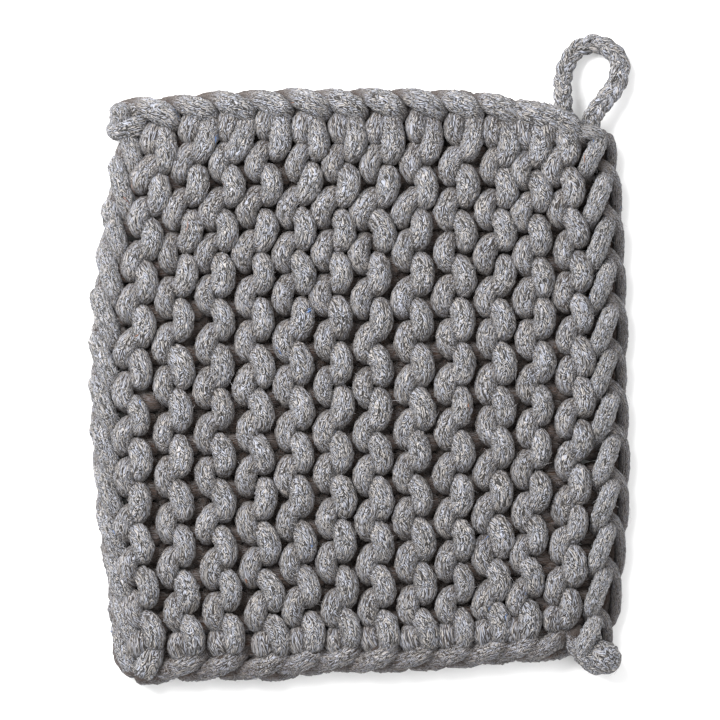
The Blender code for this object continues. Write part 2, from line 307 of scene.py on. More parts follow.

# Loose fibres: how many, with how many rings and sides. How long they are, how far they stand off the cord,
# and their radius, in mm. Their curl and droop, as shares of length, and the most painted shade a place may
# have for them to grow from.
FIBRES, FIBRE_RINGS, FIBRE_SIDES = 3000, 4, 3
FIBRE_LENGTH, FIBRE_LIFT, FIBRE_RADIUS = (1.2, 5.0), (0.1, 0.7), 0.035
FIBRE_CURL, FIBRE_DROOP, FIBRE_MAX_SHADE = 0.35, 0.12, 0.25


def linear(code):
    """The linear colour, with alpha, of an sRGB hex value."""
    parts = [int(code[i:i + 2], 16) / 255 for i in (1, 3, 5)]
    return [p / 12.92 if p <= 0.04045 else ((p + 0.055) / 1.055) ** 2.4 for p in parts] + [1.0]


class PotHolderKnit(bpy.types.PropertyGroup):
    """Sizes of the knitting"""

    crest: FloatProperty(
        name="Crest", description="Height of the stitches' crests above the table",
        default=PAD_HIGH[2], unit="LENGTH",
    )
    head_out: FloatProperty(
        name="Head Offset", description="How far a stitch's head lies to the right of its ridge's middle",
        default=3.35 * MM, unit="LENGTH",
    )
    sinker_out: FloatProperty(
        name="Sinker Offset", description="How far the cord between two heads lies to the left of the middle",
        default=3.75 * MM, unit="LENGTH",
    )
    ring_gap: FloatProperty(
        name="Ring Gap", description="Distance between the rings of points along a cord",
        default=0.95 * MM, unit="LENGTH",
    )
    sides: IntProperty(name="Sides", description="Points in each ring round a cord", default=20)
    unevenness: FloatProperty(
        name="Unevenness", description="How much the stitches differ, where 1 is hand knitting", default=1.0,
    )
    seed: IntProperty(name="Seed", description="Seed of the stitches' differences", default=7)


class PotHolderColours(bpy.types.PropertyGroup):
    """Colours of the cotton"""

    dark: FloatVectorProperty(
        name="Dark Fibre", description="Darkest fibre in the heathered yarn",
        default=linear("#211f1d")[:3], subtype="COLOR",
    )
    cool: FloatVectorProperty(
        name="Cool Light Fibre", description="Bluish one of the light fibres in the heathered yarn",
        default=linear("#8f929d")[:3], subtype="COLOR",
    )
    warm: FloatVectorProperty(
        name="Warm Light Fibre", description="Brownish one of the light fibres in the heathered yarn",
        default=linear("#999490")[:3], subtype="COLOR",
    )


def line_x(line, y):
    """Where a line that runs down the pad lies at height y."""
    at_top = (y - Y_MID) * (y - Y_FOOT) / ((Y_TOP - Y_MID) * (Y_TOP - Y_FOOT))
    at_mid = (y - Y_TOP) * (y - Y_FOOT) / ((Y_MID - Y_TOP) * (Y_MID - Y_FOOT))
    at_foot = (y - Y_TOP) * (y - Y_MID) / ((Y_FOOT - Y_TOP) * (Y_FOOT - Y_MID))
    return line.x_top * at_top + line.x_mid * at_mid + line.x_foot * at_foot


# The upper half of the pad is pulled a little to the left between its corners.
BOW, BOW_Y, BOW_REACH = -1.5 * MM, 0.046, 0.052


def bow(number, y):
    """How far ridge number's stitches are pulled sideways at height y."""
    share = max(0.0, math.sin(math.pi * (number - 1) / (len(RIDGES) - 1))) ** 0.5
    t = (y - BOW_Y) / BOW_REACH
    return BOW * share * math.cos(math.pi * t / 2) ** 2 if abs(t) < 1 else 0.0


# Cords -------

STOP_STEP, STOP_EASE = 0.25 * MM, 0.9 * MM    # stops are joined in steps, and the corners are eased
CAP_RINGS = 5    # steps in which a cord's end narrows to its tip
CORD_ROUND_MM = 24.0    # how far the pattern runs round a cord of the pad
PATTERN_START = 5.0    # a cord's pattern starts somewhere on a length of so many metres
ROUGHNESS = 0.050    # how uneven a cord's surface is, as a share of its radius
SWELL, SWELL_RINGS = 0.012, 4    # how much thicker or thinner it gets, as a share, in so many rings
RIM_FROM = 0.9    # the rim starts this far out, as a share of half the pad's width or height
FACING_FROM = 0.375    # a point faces outwards where this much or more of its normal does
RIM_SHADE_CUT = 0.8    # the share of its painted shade that a point at the rim loses where it faces straight out
Strand = namedtuple("Strand", "points radii tuck round_mm", defaults=(CORD_ROUND_MM,))
Rings = namedtuple("Rings", "middles radii across up runs tips tuck")


def soften(values, step, reach):
    """Rows of values, spaced step apart, blurred over reach, with their ends kept."""
    half = max(1, int(3 * reach / step))
    weights = np.exp(-0.5 * (np.arange(-half, half + 1) * step / reach) ** 2)
    weights /= weights.sum()
    before = 2 * values[0] - values[half:0:-1]
    after = 2 * values[-1] - values[-2:-half - 2:-1]
    padded = np.concatenate([before, values, after])
    return np.stack([np.convolve(padded[:, k], weights, "valid") for k in range(values.shape[1])], axis=1)


def runs_to(points):
    """How far along a line each of its points lies."""
    return np.concatenate([[0], np.cumsum(np.linalg.norm(np.diff(points, axis=0), axis=1))])


def spaced(values, gap):
    """Rows whose first three columns are a place, read again at even distances of about gap."""
    along = runs_to(values[:, :3])
    at = np.linspace(0, along[-1], max(3, int(round(along[-1] / gap)) + 1))
    return np.stack([np.interp(at, along, values[:, k]) for k in range(values.shape[1])], axis=1)


def strand(stops, gap):
    """A cord through stops of (x, y, z, radius, painted shade), with its corners eased."""
    fine = spaced(np.array(stops, float), STOP_STEP)
    eased = spaced(soften(fine, STOP_STEP, STOP_EASE), gap)
    return Strand(eased[:, :3], eased[:, 3], np.clip(eased[:, 4], 0, 1))


def unit(ways):
    """Directions as rows of length 1."""
    return ways / np.linalg.norm(ways, axis=1)[:, None]


def ring_axes(points):
    """The cord's way at each point, and two ways across it, without twist, the first of them down."""
    along = unit(np.gradient(points, axis=0))
    across = np.empty_like(points)
    for i, way in enumerate(along):
        last = across[i - 1] if i else np.array((0.1, 0.0, -1.0))
        side = last - way * (last @ way)
        across[i] = side / np.linalg.norm(side)
    return along, across, np.cross(along, across)


def ringed(cord, unevenness, rng):
    """The rings of points round a cord, with more of them at its ends, where they shrink to round it off."""
    along, across, up = ring_axes(cord.points)
    reach = rng.uniform(0, PATTERN_START) + runs_to(cord.points)
    swell = rng.normal(0, 1, len(reach) // SWELL_RINGS + SWELL_RINGS)
    swell = np.interp(np.arange(len(reach)) / SWELL_RINGS, np.arange(len(swell)), swell)
    radii = cord.radii * (1 + SWELL * unevenness * swell)
    slope = np.linspace(0, math.pi / 2, CAP_RINGS + 1)[1:-1]
    lift, shrink = np.sin(slope), np.cos(slope)
    middles = np.concatenate([
        cord.points[0] - along[0] * radii[0] * lift[::-1, None],
        cord.points,
        cord.points[-1] + along[-1] * radii[-1] * lift[:, None],
    ])
    sizes = np.concatenate([radii[0] * shrink[::-1], radii, radii[-1] * shrink])
    runs = np.concatenate([reach[0] - radii[0] * lift[::-1], reach, reach[-1] + radii[-1] * lift])
    tips = [cord.points[0] - along[0] * radii[0], cord.points[-1] + along[-1] * radii[-1]]
    ends = len(slope)
    across, up = (np.pad(way, ((ends, ends), (0, 0)), "edge") for way in (across, up))
    return Rings(middles, sizes, across, up, runs, tips, np.pad(cord.tuck, ends, "edge"))


def tube_points(rings, sides, unevenness, rng):
    """The points of a cord's rough surface, ring by ring, and then its two tips."""
    turn = np.arange(sides) * 2 * math.pi / sides
    rough = rings.radii[:, None] * (1 + rng.normal(0, ROUGHNESS * unevenness, (len(rings.radii), sides)))
    ways = np.cos(turn)[:, None] * rings.across[:, None] + np.sin(turn)[:, None] * rings.up[:, None]
    surface = rings.middles[:, None] + rough[:, :, None] * ways
    points = np.concatenate([surface.reshape(-1, 3), rings.tips])
    points[:, 2] = np.maximum(points[:, 2], 0.0)
    return points


def face_by_face(*corners):
    """The (u, v) of the corners of like faces, one face after another. Each corner is given for all faces."""
    return np.stack([np.stack(corner, 1) for corner in corners], axis=1).reshape(-1, 2)


def tube_faces(runs, sides, round_mm):
    """Quads between the rings of a cord, triangles from its end rings to its tips, and the (u, v) in mm of
    all their corners in turn. The rings lie at runs along the cord."""
    u, v = runs / MM, np.arange(sides + 1) * round_mm / sides
    i, j = np.divmod(np.arange((len(runs) - 1) * sides), sides)
    k = (j + 1) % sides
    quads = np.stack([i * sides + j, i * sides + k, (i + 1) * sides + k, (i + 1) * sides + j], axis=1)
    uvs = [face_by_face((u[i], v[j]), (u[i], v[j + 1]), (u[i + 1], v[j + 1]), (u[i + 1], v[j]))]
    j, k = j[:sides], k[:sides]
    last_ring, tip = (len(runs) - 1) * sides, np.full(sides, len(runs) * sides)
    tips = np.concatenate([
        np.stack([tip, k, j], 1),
        np.stack([tip + 1, last_ring + j, last_ring + k], 1),
    ])
    middle = (v[j] + v[j + 1]) / 2
    start, end = np.full(sides, u[0] - 1), np.full(sides, u[-1] + 1)
    uvs.append(face_by_face((start, middle), (start + 1, v[j + 1]), (start + 1, v[j])))
    uvs.append(face_by_face((end, middle), (end - 1, v[j]), (end - 1, v[j + 1])))
    return quads, tips, np.concatenate(uvs)


def facing_out(points, normals):
    """How far each point at the rim of the pad faces away from it, from 0 to 1: less painted shade is put
    there.
    """
    reach = np.abs(points[:, :2]) / [(PAD_HIGH[k] - PAD_LOW[k]) / 2 for k in (0, 1)]
    ways = normals[:, :2] * np.sign(points[:, :2])
    side = np.where(reach[:, 0] > reach[:, 1], ways[:, 0], ways[:, 1])
    return np.clip((side - FACING_FROM) / (1 - FACING_FROM), 0, 1) * (reach.max(axis=1) > RIM_FROM)


def new_piece(name, points, faces, material):
    """A smooth mesh object with one material, whose place is in its mesh."""
    mesh = bpy.data.meshes.new(name)
    mesh.from_pydata(points.tolist(), [], faces)
    mesh.shade_smooth()
    mesh.materials.append(material)
    mesh.update()
    piece = bpy.data.objects.new(name, mesh)
    bpy.context.scene.collection.objects.link(piece)
    return piece


def cord_piece(name, cords, material, seed, shade_reach=0.0):
    """One mesh object of several cords, with their UV map in mm and the painted shade of each point: where it
    is tucked away, and also wherever it lies within shade_reach of the middle of the pad's thickness."""
    knit = bpy.context.scene.pot_holder_knit
    rng = np.random.default_rng(seed)
    points, faces, uvs, painted_shades, base = [], [], [], [], 0
    for cord in cords:
        rings = ringed(cord, knit.unevenness, rng)
        surface = tube_points(rings, knit.sides, knit.unevenness, rng)
        quads, tips, uv = tube_faces(rings.runs, knit.sides, cord.round_mm)
        tuck = np.concatenate([np.repeat(rings.tuck, knit.sides), cord.tuck[[0, -1]]])
        # Painted shade, darker the nearer a point lies to the middle of the pad's thickness, deep in the
        # pits.
        if shade_reach:
            from_middle = np.abs(surface[:, 2] - PAD_HIGH[2] / 2)
            tuck = np.maximum(tuck, 1 - from_middle / shade_reach)
        points.append(surface)
        faces += (quads + base).tolist() + (tips + base).tolist()
        uvs.append(uv)
        painted_shades.append(tuck)
        base += len(surface)
    points = np.concatenate(points)
    piece = new_piece(name, points, faces, material)
    layer = piece.data.uv_layers.new(name=UV_NAME)
    layer.data.foreach_set("uv", np.concatenate(uvs).astype(np.float32).ravel())
    normals = np.empty(points.size, np.float32)
    piece.data.vertices.foreach_get("normal", normals)
    # Painted shade of each point, with less of it where a point at the rim faces outwards.
    shade = np.concatenate(painted_shades) * (1 - RIM_SHADE_CUT * facing_out(points, normals.reshape(-1, 3)))
    painted_shade_layer = piece.data.attributes.new(PAINTED_SHADE_NAME, "FLOAT", "POINT")
    painted_shade_layer.data.foreach_set("value", shade.astype(np.float32))
    return piece


def stand_for_pad(piece):
    """The piece is part of the knitted pad: it rides with the pad's body, and the pad's plain part is hidden.
    """
    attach(piece, BODY)
    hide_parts("knit_pad")


# Materials ---

def add_node(tree, kind, inputs=None, **settings):
    """A new node with its settings, and its inputs set to values or linked to sockets. A node stands for the
    first of its outputs that is in use."""
    node = tree.nodes.new(kind)
    for name, value in settings.items():
        setattr(node, name, value)
    for socket, value in (inputs or {}).items():
        if isinstance(value, bpy.types.Node):
            value = next(output for output in value.outputs if output.enabled)
        if isinstance(value, bpy.types.NodeSocket):
            tree.links.new(value, node.inputs[socket])
        else:
            node.inputs[socket].default_value = value
    return node


MATHS = "ShaderNodeMath"
COLUMN_MM = 1.5    # width of a column of the cord's own small V stitches, of which 16 go round
YARN_MM = 0.95    # the yarns that lie side by side in a column
YARN_SLANT = 1.2    # how far a yarn runs along the cord for each mm across
YARN_FALL, COLUMN_FALL = 2.2, 3.0    # how steeply the surface of each falls to its edges
WANDER_MM = 4.0    # how far the yarns stray along the cord, and the columns half as far round it
WANDER_SIZE_MM = 2.5    # the stretch of cord over which they stray one way
# Flecks of pale and dark fibre to each mm along a yarn and across it. Single fibres are too fine to show, so
# a fleck is a tuft of them, about half a mm long.
FLECK_ALONG, FLECK_ACROSS, FLECK_ROUGHNESS = 2.1, 2.2, 0.6
TINT_SCALE, TINT_CONTRAST = 0.55, 5.0    # places with a cool or a warm tint to each fleck, and their contrast
PATCH_MM = 16.67    # lighter and darker patches of the whole pad
RARE_FLECK = 0.9990    # the share of yarns that have no coloured fibre in them
# How much lighter each of these makes a place: its fleck, its yarn, its patch, and how high it lies, which
# paints shade into the grooves.
FLECK_LIGHT, YARN_LIGHT, PATCH_LIGHT, RELIEF_SHADE = 9.5, 0.70, 0.60, 1.15
RELIEF_MIDDLE = 0.60    # the height at which the last of them, painted shade in the grooves, makes no difference
PAINTED_SHADE_STRENGTH = 0.94    # how much of its colour a cord loses to a dark brown painted shade where it is wholly tucked away
BUMP_MM, FLECK_BUMP = 0.5, 1.2    # how high the yarns stand, and the flecks beside them, as a share


def rounded(tree, place, fall):
    """1 along the middle of each whole step of place, falling to 0 where one step meets the next."""
    part = add_node(tree, MATHS, {0: place}, operation="FRACT")
    off = add_node(tree, MATHS, {0: part, 1: 2.0, 2: -1.0}, operation="MULTIPLY_ADD")
    away = add_node(tree, MATHS, {0: off}, operation="ABSOLUTE")
    fallen = add_node(tree, MATHS, {0: away, 1: fall}, operation="POWER")
    return add_node(tree, MATHS, {0: 1.0, 1: fallen}, operation="SUBTRACT")


def small_stitches(tree):
    """The cord's own V stitches: their relief, a number for each yarn, and where its fibres lie."""
    uv = add_node(tree, "ShaderNodeUVMap", uv_map=UV_NAME)
    split = add_node(tree, "ShaderNodeSeparateXYZ", {0: uv})
    u, v = split.outputs[0], split.outputs[1]
    # The cord as it lies in space, straightened, so that noise has no seam round it.
    radius = CORD_ROUND_MM / (2 * math.pi)
    angle = add_node(tree, MATHS, {0: v, 1: radius}, operation="DIVIDE")
    ratios = [add_node(tree, MATHS, {0: angle}, operation=ratio) for ratio in ("COSINE", "SINE")]
    across, over = [add_node(tree, MATHS, {0: ratio, 1: radius}, operation="MULTIPLY") for ratio in ratios]
    on_cord = add_node(tree, "ShaderNodeCombineXYZ", {0: u, 1: across, 2: over})
    wander = add_node(tree, "ShaderNodeTexNoise", {
        "Vector": on_cord, "Scale": 1 / WANDER_SIZE_MM, "Detail": 1.0,
    })
    astray = add_node(tree, MATHS, {0: wander, 1: 0.5}, operation="SUBTRACT")
    along = add_node(tree, MATHS, {0: astray, 1: WANDER_MM, 2: u}, operation="MULTIPLY_ADD")
    round_it = add_node(tree, MATHS, {0: astray, 1: -WANDER_MM / 2, 2: v}, operation="MULTIPLY_ADD")
    # The columns run along the cord, and the yarns slant one way in one column and the other way in the next.
    column = add_node(tree, MATHS, {0: round_it, 1: COLUMN_MM}, operation="DIVIDE")
    number = add_node(tree, MATHS, {0: column}, operation="FLOOR")
    odd = add_node(tree, MATHS, {0: number, 1: 2.0}, operation="FLOORED_MODULO")
    way = add_node(tree, MATHS, {0: odd, 1: 2.0, 2: -1.0}, operation="MULTIPLY_ADD")
    part = add_node(tree, MATHS, {0: column}, operation="FRACT")
    off = add_node(tree, MATHS, {0: part, 1: 0.5}, operation="SUBTRACT")
    turned = add_node(tree, MATHS, {0: off, 1: way}, operation="MULTIPLY")
    slanted = add_node(tree, MATHS, {
        0: turned, 1: COLUMN_MM * YARN_SLANT, 2: along,
    }, operation="MULTIPLY_ADD")
    yarn = add_node(tree, MATHS, {0: slanted, 1: YARN_MM}, operation="DIVIDE")
    yarn_number = add_node(tree, MATHS, {0: yarn}, operation="FLOOR")
    cell = add_node(tree, "ShaderNodeCombineXYZ", {0: yarn_number, 1: number})
    relief = add_node(tree, MATHS, {
        0: rounded(tree, yarn, YARN_FALL), 1: rounded(tree, column, COLUMN_FALL),
    }, operation="MULTIPLY")
    scales = ((slanted, FLECK_ALONG), (across, FLECK_ACROSS), (over, FLECK_ACROSS))
    scaled = [add_node(tree, MATHS, {0: place, 1: flecks}, operation="MULTIPLY") for place, flecks in scales]
    return relief, cell, add_node(tree, "ShaderNodeCombineXYZ", dict(enumerate(scaled)))


def cotton_cord():
    """Spun heathered cotton, knitted by machine into a round cord: fine slanted yarns in V columns, pale
    and dark fibres mixed in each yarn, no gloss but a faint fuzz, and painted shade: dark brown where the
    cord is tucked away, and darker low between its yarns."""
    found = bpy.data.materials.get("heathered_cotton_cord_knitted")
    if found:
        return found
    colours = bpy.context.scene.pot_holder_colours
    material = bpy.data.materials.new("heathered_cotton_cord_knitted")
    material.use_nodes = True
    tree = material.node_tree
    tree.nodes.clear()
    relief, cell, fibre_place = small_stitches(tree)
    flecks = add_node(tree, "ShaderNodeTexNoise", {
        "Vector": fibre_place, "Scale": 1.0, "Detail": 1.0, "Roughness": FLECK_ROUGHNESS,
    })
    each = add_node(tree, "ShaderNodeTexWhiteNoise", {"Vector": cell}, noise_dimensions="2D")
    on_pad = add_node(tree, "ShaderNodeTexCoord").outputs["Object"]
    patches = add_node(tree, "ShaderNodeTexNoise", {
        "Vector": on_pad, "Scale": 1 / (PATCH_MM * MM), "Detail": 2.0,
    })
    # From dark fibre at 0 to light fibre at 1, with painted shade low in the grooves between the yarns.
    lights = (
        (flecks, 0.5, FLECK_LIGHT),
        (each, 0.5, YARN_LIGHT),
        (patches, 0.5, PATCH_LIGHT),
        # painted shade: lower places between the small yarns are made darker
        (relief, RELIEF_MIDDLE, RELIEF_SHADE),
    )
    shade = 0.5 - sum(middle * strength for _, middle, strength in lights)
    for value, _, strength in lights:
        shade = add_node(tree, MATHS, {0: value, 1: strength, 2: shade}, operation="MULTIPLY_ADD")
    tint = add_node(tree, "ShaderNodeTexNoise", {"Vector": fibre_place, "Scale": TINT_SCALE, "Detail": 1.0})
    warmth = add_node(tree, MATHS, {
        0: tint, 1: TINT_CONTRAST, 2: 0.5 - TINT_CONTRAST / 2,
    }, operation="MULTIPLY_ADD")
    light = add_node(tree, "ShaderNodeMix", {
        "Factor": warmth, "A": [*colours.cool, 1.0], "B": [*colours.warm, 1.0],
    }, data_type="RGBA")
    grey = add_node(tree, "ShaderNodeMix", {
        "Factor": shade, "A": [*colours.dark, 1.0], "B": light,
    }, data_type="RGBA")
    # In a few yarns the light flecks are dyed, half of them blue and half of them brown.
    hue = add_node(tree, "ShaderNodeSeparateXYZ", {0: each.outputs["Color"]})
    brown = add_node(tree, MATHS, {0: hue.outputs[1], 1: 0.5}, operation="GREATER_THAN")
    dye = add_node(tree, "ShaderNodeMix", {
        "Factor": brown, "A": linear("#46689a"), "B": linear("#8a5a42"),
    }, data_type="RGBA")
    pale = add_node(tree, MATHS, {0: flecks, 1: 0.5}, operation="GREATER_THAN")
    chance = add_node(tree, MATHS, {0: each, 1: pale}, operation="MULTIPLY")
    dyed = add_node(tree, MATHS, {0: chance, 1: RARE_FLECK}, operation="GREATER_THAN")
    coloured = add_node(tree, "ShaderNodeMix", {"Factor": dyed, "A": grey, "B": dye}, data_type="RGBA")
    # Painted shade: where a cord is tucked away or lies deep in the pad, its colour goes towards a dark
    # brown.
    tuck = add_node(tree, "ShaderNodeAttribute", attribute_name=PAINTED_SHADE_NAME)
    painted_shade_factor = add_node(tree, MATHS, {0: tuck.outputs["Fac"], 1: PAINTED_SHADE_STRENGTH}, operation="MULTIPLY")
    shaded = add_node(tree, "ShaderNodeMix", {
        "Factor": painted_shade_factor, "A": coloured, "B": linear("#2e1b0c"),
    }, data_type="RGBA")
    uneven = add_node(tree, MATHS, {0: flecks, 1: FLECK_BUMP, 2: relief}, operation="MULTIPLY_ADD")
    bump = add_node(tree, "ShaderNodeBump", {"Height": uneven, "Distance": BUMP_MM * MM, "Strength": 1.0})
    shader = add_node(tree, "ShaderNodeBsdfPrincipled", {
        "Base Color": shaded, "Normal": bump, "Roughness": 0.95, "Specular IOR Level": 0.2,
        "Sheen Weight": 0.15, "Sheen Roughness": 0.6,
    })
    add_node(tree, "ShaderNodeOutputMaterial", {"Surface": shader})
    return material


def loose_fibre():
    """Single cotton fibres that have worked loose from the yarn: pale grey, matt and a little see-through."""
    found = bpy.data.materials.get("cotton_fibre_loose")
    if found:
        return found
    material = bpy.data.materials.new("cotton_fibre_loose")
    material.use_nodes = True
    shader = material.node_tree.nodes["Principled BSDF"]
    shader.inputs["Base Color"].default_value = linear("#b4b2b4")
    shader.inputs["Roughness"].default_value = 0.8
    shader.inputs["Specular IOR Level"].default_value = 0.2
    return material


# Knitting ----

def lump(x_at, y_at, place, is_head, in_front, end, knit, rng):
    """Stops of one rounded lump of a row, a head or a sinker, shaped as its end of the row asks."""
    shift, rise = rng.normal(0, LUMP_SHIFT, 2) * MM * knit.unevenness
    slide = rng.normal(0, LUMP_SLIDE) * knit.unevenness
    lean = rng.normal(0, LUMP_LEAN) * MM * knit.unevenness
    size = 1 + rng.normal(0, LUMP_GROWTH) * knit.unevenness
    lean += (HEAD_LEAN if is_head else -SINKER_LEAN) * MM * (1 if in_front else -1)
    turns = HEAD_TURNS if is_head else SINKER_TURNS
    longest = turns[-1].along
    above = [t._replace(along=-t.along * end.above, drop=t.drop + end.sink_above * t.along / longest)
             for t in reversed(turns[1:])]
    below = [t._replace(along=t.along * end.below, drop=t.drop + end.sink_below * t.along / longest)
             for t in turns]
    stops = []
    for t in above + below:
        y = y_at(place + end.shift + slide + t.along)
        radius = t.radius * MM * size
        x = x_at(y) + (-1 if is_head else 1) * t.inward * MM + shift + lean * t.along / LEG_PLACE
        z = knit.crest - t.drop * MM - radius - abs(rise)
        # The lump's ends take painted shade as they dive below the crest.
        tuck = min(1.0, t.drop / FULL_SHADE_DROP) ** 2
        stops.append((x, y, z if in_front else PAD_HIGH[2] - z, radius, tuck))
    return stops


def knit_row(number, heads_in_front, knit, rng):
    """The cord of one row: its lumps on the front and on the back in turn, joined through the pad."""
    ridge = RIDGES[number]
    before = RIDGES[number - 1] if number > 0 else None
    after = RIDGES[number + 1] if number + 1 < len(RIDGES) else None

    def front(y):
        spread = 1 + SINKER_SPREAD * bow(number + 1, y) / BOW
        side = knit.head_out if heads_in_front else -knit.sinker_out * spread
        return line_x(ridge, y) + bow(number + 1, y) + side

    def back(y):
        here = line_x(ridge, y) + bow(number + 1, y)
        if heads_in_front:
            there = line_x(before, y) + bow(number, y) if before else here - SIDE_GAP
            return (here + there) / 2 - knit.sinker_out
        there = line_x(after, y) + bow(number + 2, y) if after else here + SIDE_GAP
        return (here + there) / 2 + knit.head_out

    def y_at(place):    # in stitches down the ridge, from 0 at its first head to 11 at its last
        return ridge.y_first + (ridge.y_last - ridge.y_first) * place / (STITCHES - 1)

    count = 2 * STITCHES + (0 if heads_in_front else 1)
    first = 0.0 if heads_in_front else -0.5
    ends = {0: FIRST_HEAD} if heads_in_front else {0: FIRST_SINKER, count - 1: LAST_SINKER}
    stops = []
    for i in range(count):
        place = first + 0.5 * i
        in_front = i % 2 == 0
        stops += lump(front if in_front else back, y_at, place, in_front == heads_in_front, in_front,
                      ends.get(i, MIDDLE_LUMP), knit, rng)
        y = y_at(place + LEG_PLACE)
        # The legs through the pad take full painted shade.
        legs = [(front(y) * share + back(y) * (1 - share), y, z, LEG_RADIUS * MM, 1.0) for share, z in LEG]
        stops += legs if in_front else legs[::-1]
    return strand(stops, knit.ring_gap)


class PotHolderRidges(bpy.types.Operator):
    """Knit the twelve ridges, two rows of cord in each"""

    bl_idname = "pot_holder.ridges"
    bl_label = "Ridges"

    def execute(self, context):
        knit = context.scene.pot_holder_knit
        for number in range(len(RIDGES)):
            rng = np.random.default_rng(knit.seed * 100 + number)
            rows = [knit_row(number, heads, knit, rng) for heads in (True, False)]
            piece = cord_piece(f"ridge_{number + 1:02d}", rows, cotton_cord(), knit.seed + number, PIT_SHADE_REACH)
            stand_for_pad(piece)
        return {"FINISHED"}


# Edges -------

def placed(stops, x=0.0, y=0.0, stretch=1.0, behind=False):
    """Stops in metres about a middle, stretched along y, and turned over onto the back if behind."""
    side = -1 if behind else 1
    return [(
        x + right * MM,
        y + side * above * stretch * MM,
        PAD_HIGH[2] - height * MM if behind else height * MM,
        radius * MM,
        tuck,
    ) for right, above, height, radius, tuck in stops]


def varied(stops, rng, unevenness):
    """The stops, moved a little all together, and half as far up or down as sideways."""
    shift = rng.normal(0, CORD_SHIFT, 3) * MM * unevenness
    size = 1 + rng.normal(0, CORD_GROWTH) * unevenness
    return [(x + shift[0], y + shift[1], z + shift[2] / 2, radius * size, tuck)
            for x, y, z, radius, tuck in stops]


class PotHolderEnds(bpy.types.Operator):
    """Turn the cord round the top and the foot of every ridge, on the front and on the back"""

    bl_idname = "pot_holder.ends"
    bl_label = "Ends of the Ridges"

    def execute(self, context):
        knit = context.scene.pot_holder_knit
        rng = np.random.default_rng(knit.seed + 50)
        over, round_foot = (TOP_TURN, TOP_TURN_RISE), (FOOT_TURN, FOOT_TURN_DROP)
        tops, feet = [], []
        for number, ridge in enumerate(RIDGES):
            rise = (ridge.y_rim_top - ridge.y_first) / MM - EDGE_MARGIN
            drop = (ridge.y_last - ridge.y_rim_foot) / MM - EDGE_MARGIN
            after = RIDGES[min(number + 1, len(RIDGES) - 1)]
            for y, reach, front, back, cords in (
                (ridge.y_first, rise, over, round_foot, tops),
                (ridge.y_last, drop, round_foot, over, feet),
            ):
                x = line_x(ridge, y) + bow(number + 1, y) + knit.head_out
                if number + 1 == len(RIDGES):
                    cords.append(placed(CORNER_STRAND if y > 0 else LAST_FOOT))
                elif y > 0 or number > 0:
                    cords.append(placed(front[0], x, y, reach / front[1]))
                halfway = (line_x(ridge, y) + line_x(after, y)) / 2 + knit.head_out
                cords.append(placed(back[0][2:], halfway, y, reach / back[1], behind=True))
        for name, cords in (("top_turns", tops), ("foot_turns", feet)):
            strands = [strand(varied(stops, rng, knit.unevenness), knit.ring_gap) for stops in cords]
            stand_for_pad(cord_piece(name, strands, cotton_cord(), knit.seed + 51, EDGE_PIT_SHADE_REACH))
        return {"FINISHED"}


class PotHolderCastOn(bpy.types.Operator):
    """Wind the rope of the cast-on edge down the left side, and its first knot at the top"""

    bl_idname = "pot_holder.cast_on"
    bl_label = "Cast-On Edge"

    def execute(self, context):
        knit = context.scene.pot_holder_knit
        rng = np.random.default_rng(knit.seed + 60)
        turns = (ROPE_TOP - ROPE_FOOT) / ROPE_PITCH
        steps = int(turns * ROPE_STEPS)
        uneven = rng.normal(0, 1, math.ceil(turns) + 1) * knit.unevenness
        uneven = np.interp(np.arange(steps + 1) / ROPE_STEPS, np.arange(len(uneven)), uneven)
        over, under = [], []
        for i in range(steps + 1):
            angle = 2 * math.pi * i / ROPE_STEPS
            middle = ROPE_TOP - ROPE_PITCH * i / ROPE_STEPS
            swing = ROPE_SWING * (1 + ROPE_SWING_SPREAD * uneven[i])
            x = line_x(CAST_ON_RIM, middle) + (ROPE_INSIDE - swing * math.cos(angle)) * MM
            y = middle + ROPE_SLIDE * math.cos(angle) * MM
            z = (ROPE_MIDDLE + ROPE_RISE * math.sin(angle)) * MM
            # Painted shade where the rope runs low and where it swings inwards.
            low = max(0.0, ROPE_LOW_FROM - math.sin(angle)) * ROPE_LOW_SHADE
            inside = max(0.0, -math.cos(angle)) ** 3 * ROPE_IN_SHADE
            over.append((x, y, z, ROPE_RADIUS * (1 + ROPE_RADIUS_SPREAD * uneven[i]) * MM, low + inside))
        # The cord under the rope, in painted shade.
        for i, y in enumerate(np.arange(ROPE_TOP, ROPE_FOOT, -ROPE_PITCH / ROPE_STEPS)):
            aside = UNDER_INSIDE + UNDER_SWING * math.cos(2 * math.pi * i / ROPE_STEPS)
            x = line_x(CAST_ON_RIM, y) + aside * MM
            under.append((x, y, UNDER_HEIGHT * MM, UNDER_RADIUS * MM, UNDER_SHADE))
        corners = (FIRST_WRAP, FIRST_END, FIRST_STRAND, CORNER_TURN, CORNER_LUMP)
        cords = [strand(stops, knit.ring_gap) for stops in (over, under, *map(placed, corners))]
        stand_for_pad(cord_piece("cast_on_rope", cords, cotton_cord(), knit.seed + 61))
        return {"FINISHED"}


